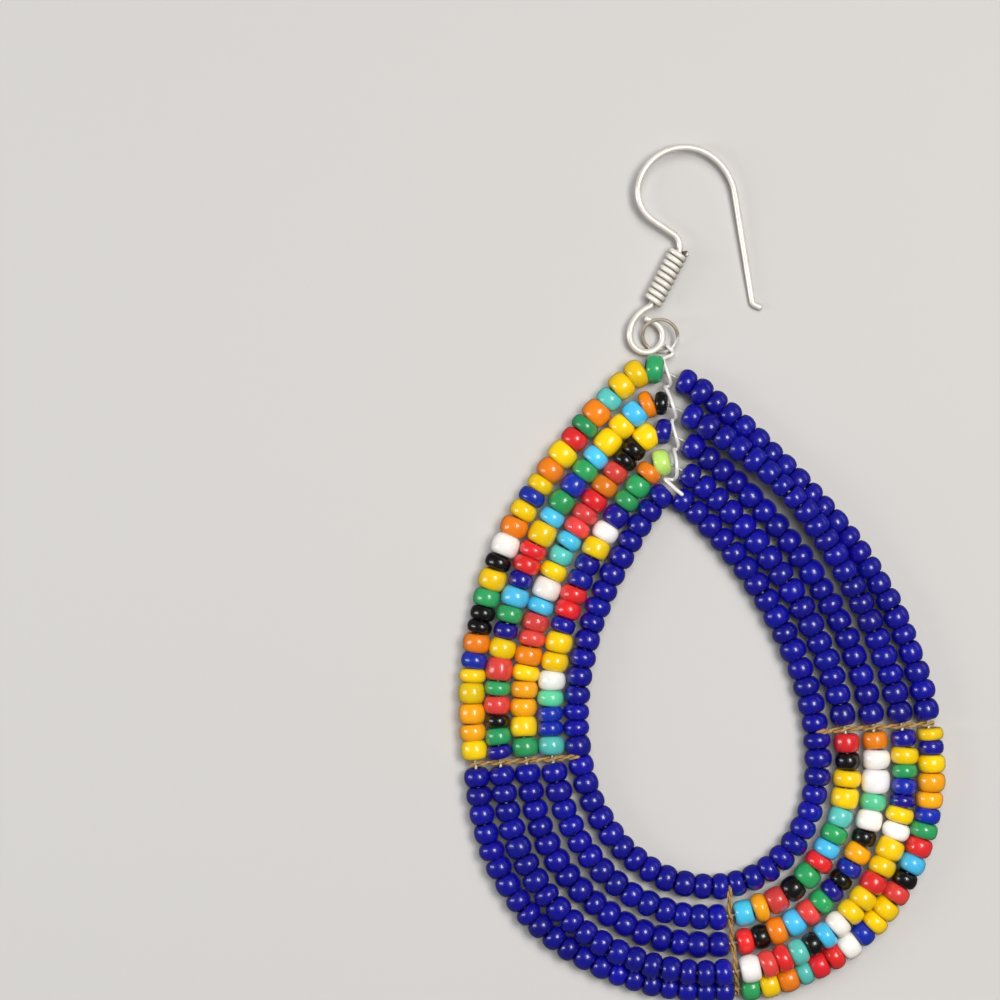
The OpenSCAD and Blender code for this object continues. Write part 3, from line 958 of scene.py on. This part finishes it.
# A tie starts this far outside the outer string. Places along it are counted in strings.
TIE_START = 0.5
START_PLACE = -0.2

# The tie's end: distance from the crease where it ends, height over the crease, and place
TIE_END = np.array([(1.35, 0.72, 3.5), (0.85, 1.0, 3.7), (0.4, 1.08, 3.88), (0.0, 0.75, 4.05)])

# How far to each side of a wire the strands stand apart, counted in strings, how flat they lie, and how
# far from the tie's middle line the painted shade between them reaches, in their radii
APART_OVER = 0.13
FLATNESS = 0.8
CREVICE_REACH = 1.35


def thread_strand(name, line):
    """A strand of two plies: a round section with two lobes, which turn half round in a ply pitch."""
    steps = np.linalg.norm(np.diff(line, axis=0), axis=1)
    run = np.concatenate([[0], np.cumsum(steps)])[:, None]
    angle = np.linspace(0, TURN, THREAD_SIDES, endpoint=False)[None, :]
    lobes = np.cos(2 * angle - TURN * run / PLY_PITCH)
    return swept(name, line, THREAD_R * (1 + PLY_DEPTH * lobes), THREAD, sides=THREAD_SIDES)


def tie_end(rows, across, creases):
    """The last points of a tie: up over the edge of a bead of the innermost string and down into the
    crease beside it that lies best in line with the tie's wires."""
    off_line = np.abs(np.cross(creases - rows[-1], across)[:, 2])
    near = np.linalg.norm(creases - rows[-1], axis=1) < END_WITHIN
    crease = creases[near][np.argmin(off_line[near])]
    level = (crease - rows[-1]) * (1, 1, 0)
    level /= np.linalg.norm(level)
    end = crease - TIE_END[:, :1] * level
    end[:, 2] = crease[2] + TIE_END[:, 1]
    return end


def tie_route(tie, creases):
    """A tie's middle line, the place of each of its points, and the level side of the line."""
    rows = np.stack([string_at(k, TIES[k][tie]) for k in TIED])
    across = (rows[-1] - rows[0]) / np.linalg.norm(rows[-1] - rows[0])
    end = tie_end(rows, across, creases)
    route = np.concatenate([rows[:1] - across * TIE_START, rows, end])
    places = np.concatenate([[START_PLACE], np.arange(len(rows)), TIE_END[:, 2]])
    line = smooth_line(route, TIE_STEPS)
    place = np.interp(np.arange(len(line)), np.arange(len(route)) * TIE_STEPS, places)
    return line, place, np.cross(across, (0, 0, 1))


def joined(name, parts):
    """Several meshes as one piece."""
    first = parts[0]
    with bpy.context.temp_override(active_object=first, object=first, selected_editable_objects=parts):
        bpy.ops.object.join()
    first.name = first.data.name = name
    return first


def thread_tie(side_name, tie, creases):
    """Two strands twined round the bare wires, once from wire to wire, so that one goes over each wire
    and the other under it: height and side go by the sine and cosine of the place in turns, half a turn
    apart. Towards each other the strands are marked for painted shade."""
    middle, place, beside = tie_route(tie, creases)
    from_wire = place - np.round(np.clip(place, 0, len(TIED) - 1))
    spread = (THREAD_R + CORE_WIRE_R * np.exp(-((from_wire / APART_OVER) ** 2)))[:, None]
    strands = []
    for half in (0, 1):
        a = TURN * (place[:, None] + half / 2 + 0.25)
        offset = np.sin(a) * np.array([0, 0, 1.0]) + np.cos(a) * beside * FLATNESS
        strand = thread_strand(f"tie_{side_name}_{half}", middle + spread * offset)
        apart = points_of(strand)[:, None, :] - middle[None, ::2]
        inner = np.linalg.norm(apart, axis=2).min(1)
        # Marks for painted shade, towards the tie's middle line
        point_values(strand, "crevice", "FLOAT", np.clip(CREVICE_REACH - inner / THREAD_R, 0, 1))
        strands.append(strand)
    piece = joined(f"thread_tie_{side_name}", strands)
    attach(piece, "root")


bead_angles = []
for row in range(len(STRINGS)):
    bead_angles.append(bead_string(row))
    core_wire(row)
ear_hook()
hook_coil()
hanger_ring()
top_lashing()
inner_creases = string_at(0, (bead_angles[0][1:] + bead_angles[0][:-1]) / 2)
for number, side_name in enumerate(("right", "foot", "left")):
    thread_tie(side_name, number, inner_creases)

# Camera, floor and light. The camera looks straight down, turned so that the drop leans as in the
# photo. The photo's middle is given by its right and up from the origin of the drop's frame.
PHOTO_TURN = math.radians(8.75)
PHOTO_WIDTH = 100.0
PHOTO_MIDDLE = (-20.0, 18.0)
VIEW_HEIGHT = 300.0
SENSOR = 36.0
FLOOR_HALF = 15000


def turned_back(right, up, z):
    """A place in the drop's frame, from one given by the photo's right and up, in millimetres."""
    c, s = math.cos(PHOTO_TURN), math.sin(PHOTO_TURN)
    return np.array([c * right + s * up, c * up - s * right, z])


def camera():
    """The camera above the photo's middle, which shows the photo's width at the beads' height."""
    data = bpy.data.cameras.new("camera")
    data.sensor_width = SENSOR
    data.lens = SENSOR * (VIEW_HEIGHT - REST_Z) / PHOTO_WIDTH
    data.clip_start = 0.01
    obj = bpy.data.objects.new("camera", data)
    obj.location = (turned_back(*PHOTO_MIDDLE, VIEW_HEIGHT) + TO_MODEL) * MM
    obj.rotation_euler = (0, 0, -PHOTO_TURN)
    bpy.context.scene.collection.objects.link(obj)
    bpy.context.scene.camera = obj


def floor():
    """A plain pale floor under the earring."""
    material, tree, shader = new_material("floor")
    shader.inputs["Base Color"].default_value = (0.56, 0.55, 0.54, 1)
    shader.inputs["Roughness"].default_value = 0.85
    shader.inputs["Specular IOR Level"].default_value = 0.2
    corners = [(x * FLOOR_HALF, y * FLOOR_HALF, 0) for x, y in ((-1, -1), (1, -1), (1, 1), (-1, 1))]
    obj = mesh_object("floor", corners, [(0, 1, 2, 3)], material, smooth=False)
    obj.visible_glossy = False


def light(data, place, power, colour, glossy):
    """Puts a light at a place by the photo's right, up and height, facing the model's origin."""
    data.energy = power
    data.color = colour
    obj = bpy.data.objects.new(data.name, data)
    obj.location = (turned_back(*place) + TO_MODEL) * MM
    obj.rotation_euler = (-obj.location).to_track_quat("-Z", "Y").to_euler()
    obj.visible_glossy = glossy
    bpy.context.scene.collection.objects.link(obj)


def lamp(name, place, size, power, colour):
    """A rectangular lamp, which shows in the gloss of the beads."""
    data = bpy.data.lights.new(name, "AREA")
    data.shape = "RECTANGLE"
    data.size, data.size_y = size[0] * MM, size[1] * MM
    light(data, place, power, colour, glossy=True)


def soft_sun(place, spread, power, colour):
    """Light from far off, as wide as the angle given, so that it falls the same on the whole floor. It
    doesn't show in the gloss."""
    data = bpy.data.lights.new("softbox", "SUN")
    data.angle = math.radians(spread)
    light(data, place, power, colour, glossy=False)


def world(strength, seen):
    """A plain pale surround. It lights the scene with the strength given, and shows in the colour that
    the floor has far off."""
    surround = bpy.data.worlds.new("world")
    surround.use_nodes = True
    tree = surround.node_tree
    lit = tree.nodes["Background"]
    lit.inputs["Color"].default_value = (1.0, 0.99, 0.98, 1)
    lit.inputs["Strength"].default_value = strength
    backdrop = add(tree, "ShaderNodeBackground", values={"Color": (*seen, 1.0)})
    ray = add(tree, "ShaderNodeLightPath")
    either = add(tree, "ShaderNodeMixShader")
    tree.links.new(ray.outputs["Is Camera Ray"], either.inputs[0])
    tree.links.new(lit.outputs[0], either.inputs[1])
    tree.links.new(backdrop.outputs[0], either.inputs[2])
    tree.links.new(either.outputs[0], tree.nodes["World Output"].inputs["Surface"])
    bpy.context.scene.world = surround


camera()
floor()
world(0.09, (0.376, 0.366, 0.352))
lamp("ceiling_lamp", (110, 50, 300), (130, 90), 0.5, (1.0, 0.97, 0.93))
lamp("window_high", (-300, 20, 200), (70, 110), 0.2, (0.95, 0.97, 1.0))
lamp("window_low", (-345, 20, 100), (70, 110), 0.16, (0.95, 0.97, 1.0))
lamp("far_wall", (330, 210, 70), (260, 150), 0.07, (1.0, 0.98, 0.96))
soft_sun((100, 250, 700), 46, 2.08, (1.0, 0.99, 0.97))
bpy.context.scene.view_settings.view_transform = "Standard"
